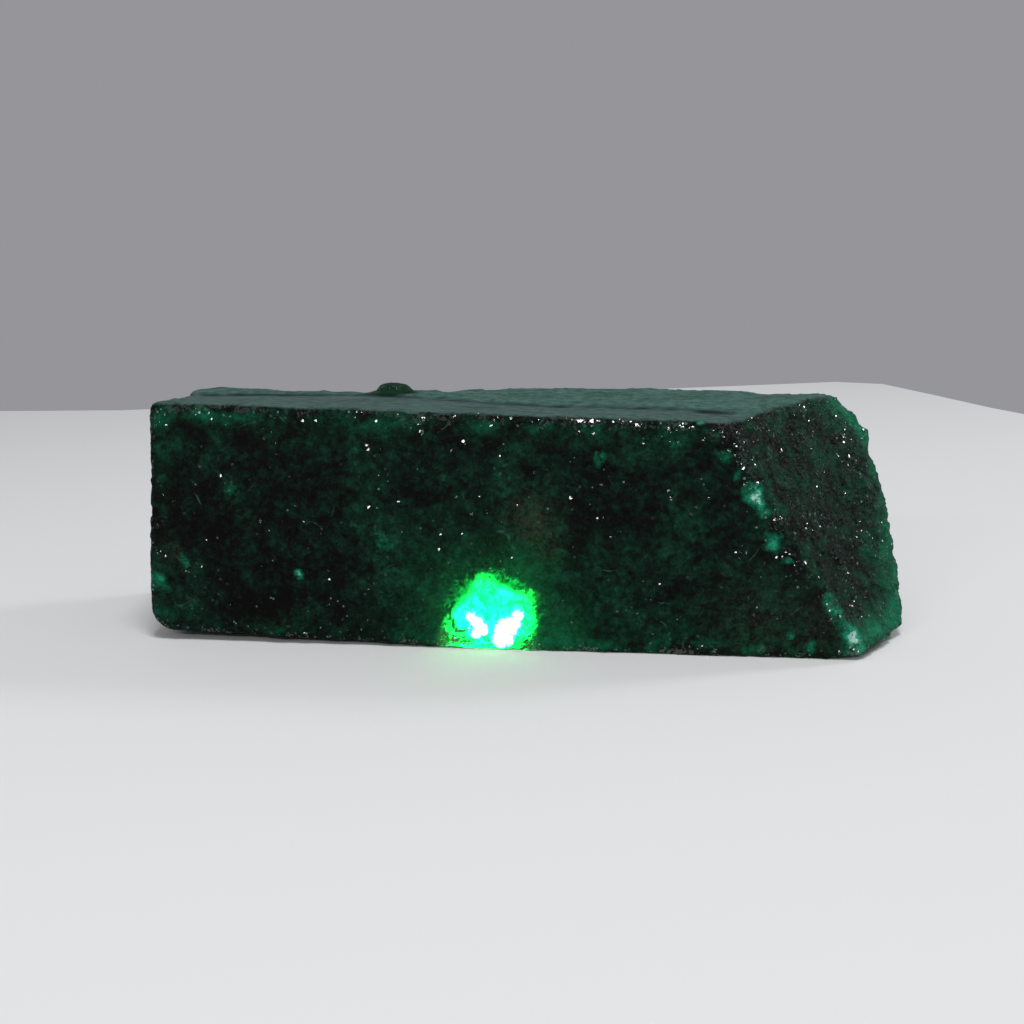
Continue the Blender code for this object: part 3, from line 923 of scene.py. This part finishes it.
paper = bpy.data.materials.new("paper")
paper.use_nodes = True
paper_shader = paper.node_tree.nodes["Principled BSDF"]
paper_shader.inputs["Base Color"].default_value = PAPER
paper_shader.inputs["Roughness"].default_value = 0.9
paper_shader.inputs["Specular IOR Level"].default_value = 0.1
sheet.materials.append(paper)
print("paper corners:", len(corners))

# %% [markdown]
# ## Light
#
# A grey world fills the shadows.  A soft disc overhead lights the top and the paper.  A single
# lamp for everything would have to be small to make glints, and would then cast hard shadows, so
# two small lamps are there for the glints only: a long strip in front, which the split faces of
# the front mirror, and a disc behind on the right, which those of the break mirror.

# %% Grey world
ROOM_GREY = (0.305, 0.300, 0.319, 1.0)

world = bpy.data.worlds.new("room")
bpy.context.scene.world = world
world.use_nodes = True
world.node_tree.nodes["Background"].inputs["Color"].default_value = ROOM_GREY
world.node_tree.nodes["Background"].inputs["Strength"].default_value = 1.0
print("world:", world.name)


# %% Three soft lamps
def hang(lamp, place, aim):
    """Put a lamp at a place, so that it shines along aim."""
    holder = bpy.data.objects.new(lamp.name, lamp)
    holder.location = place
    holder.rotation_euler = aim.to_track_quat("-Z", "Y").to_euler()
    bpy.context.scene.collection.objects.link(holder)


def soft_lamp(name, place_in_mm, target_in_mm, width, watts, height=None):
    """A disc, or a strip where a height is given."""
    lamp = bpy.data.lights.new(name, "AREA")
    lamp.shape = "RECTANGLE" if height else "DISK"
    lamp.size = width * MM
    lamp.size_y = (height or width) * MM
    lamp.energy = watts
    place = Vector(place_in_mm) * MM
    hang(lamp, place, Vector(target_in_mm) * MM - place)
    print(name, "-", lamp.shape.lower(), width, "mm wide,", watts, "W")


soft_lamp("key", (60, -200, 600), (0, 0, 10), width=190, watts=1.95)
soft_lamp("strip", (-100, -450, 225), (0, 0, 10), width=360, watts=0.54, height=30)
soft_lamp("side sparkle", (360, 220, 330), (30, 0, 10), width=110, watts=0.50)

# %% [markdown]
# ## A torch in the stone
#
# A gem dealer holds a torch under a rough stone to see how clean it is.  Its light comes out of
# the clear window, green at the rim, almost cyan in the middle, and white where the bulb is seen
# through the cleanest glass.  Painting that glow would leave it shining from every side.  So it
# is mostly real light: one wide weak lamp deep in the stone, which the crystal colours on the way
# out, and two groups of small strong ones close behind the face, for the white spots.  Only the
# dim halo and part of the window's green are painted glow, in the base colour.

# %% Lamps inside the stone
TORCH_AIM = Vector((0.0, -1.0, 0.55))
TORCH_BULBS = [   # name; X, depth behind the front face, Z and radius in mm; beam in degrees; watts
    ("torch", -3.8, 9.0, 2.2, 5.8, 140, 0.220),
    ("torch left top", -5.6, 1.6, 3.6, 0.45, 60, 0.022),
    ("torch left", -4.9, 1.6, 2.9, 0.65, 60, 0.045),
    ("torch left low", -4.2, 1.6, 2.1, 0.55, 60, 0.032),
    ("torch left foot", -5.0, 1.6, 1.6, 0.45, 60, 0.022),
    ("torch right", -1.5, 1.8, 2.2, 1.45, 60, 0.210),
    ("torch right foot", -1.9, 1.8, 1.0, 1.35, 60, 0.190),
    ("torch right top", -0.6, 1.8, 2.9, 0.8, 60, 0.070),
    ("torch right tip", -0.1, 1.8, 3.9, 0.5, 60, 0.030),
]

for name, x, depth_in, z, radius, beam, watts in TORCH_BULBS:
    bulb = bpy.data.lights.new(name, "SPOT")
    bulb.energy = watts
    bulb.shadow_soft_size = radius * MM
    bulb.spot_size = math.radians(beam)
    bulb.spot_blend = 1.0
    hang(bulb, Vector((x * MM, LOW.y + depth_in * MM, z * MM)), TORCH_AIM)
print("bulbs in the stone:", len(TORCH_BULBS))

# %% [markdown]
# ## Camera
#
# A normal lens, close to the stone and a little above it, turned slightly so that the break on
# the right is seen too.  A long lens from farther off would flatten the stone, and the top would
# no longer narrow towards the back.  The near clip is short because the stone is small.  The
# standard view keeps the paper as pale as it is and lets the torch burn out to white.

# %% The camera
EYE = (15.594, -172.571, 48.192)             # mm
EYE_TILT, EYE_TURN = 78.705, 5.877           # degrees, up from straight down, and to the left

camera = bpy.data.cameras.new("camera")
camera.lens = 50.0
camera.sensor_width = 36.0
camera.clip_start = 5.0 * MM
eye = bpy.data.objects.new("camera", camera)
eye.location = Vector(EYE) * MM
eye.rotation_euler = Euler((math.radians(EYE_TILT), 0.0, math.radians(EYE_TURN)))
bpy.context.scene.collection.objects.link(eye)
bpy.context.scene.camera = eye
bpy.context.scene.view_settings.view_transform = "Standard"
print("camera is", round(Vector(EYE).length), "mm from the stone's foot")
